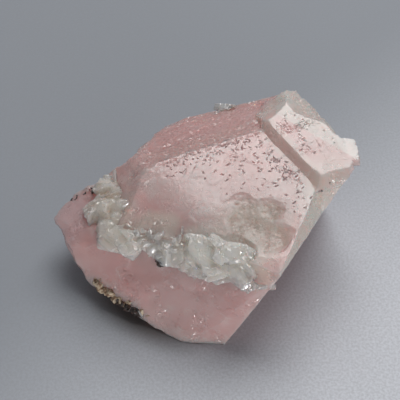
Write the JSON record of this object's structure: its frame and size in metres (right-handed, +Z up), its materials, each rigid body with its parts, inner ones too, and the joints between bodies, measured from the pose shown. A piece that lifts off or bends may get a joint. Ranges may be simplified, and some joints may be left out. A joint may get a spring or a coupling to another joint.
{
  "type": "morganite crystal",
  "caption": "Rough pale pink morganite crystal, a thick broken tablet with a stepped flat top and a white albite crust along its broken rim.",
  "frame": {"origin": "centre of the base of the bounding box, on the surface that the crystal rests on", "axes": "+Z up, normal to the flat face that it rests on; +X along the length, from the tapering left end towards the raised terrace; +Y to the back"},
  "size_m": [0.051, 0.0422, 0.0238],
  "materials": {
    "morganite": "clear to milky pale pink crystal, glassy faces",
    "albite": "translucent white to greenish white, pearly cleavages",
    "schorl": "opaque brown-black, glassy"
  },
  "bodies": {
    "root": {"morganite_crystal": "morganite", "albite_crust": "albite", "albite_back_patch": "albite", "schorl_rim": "schorl", "schorl_base": "schorl"}
  },
  "joints": []
}
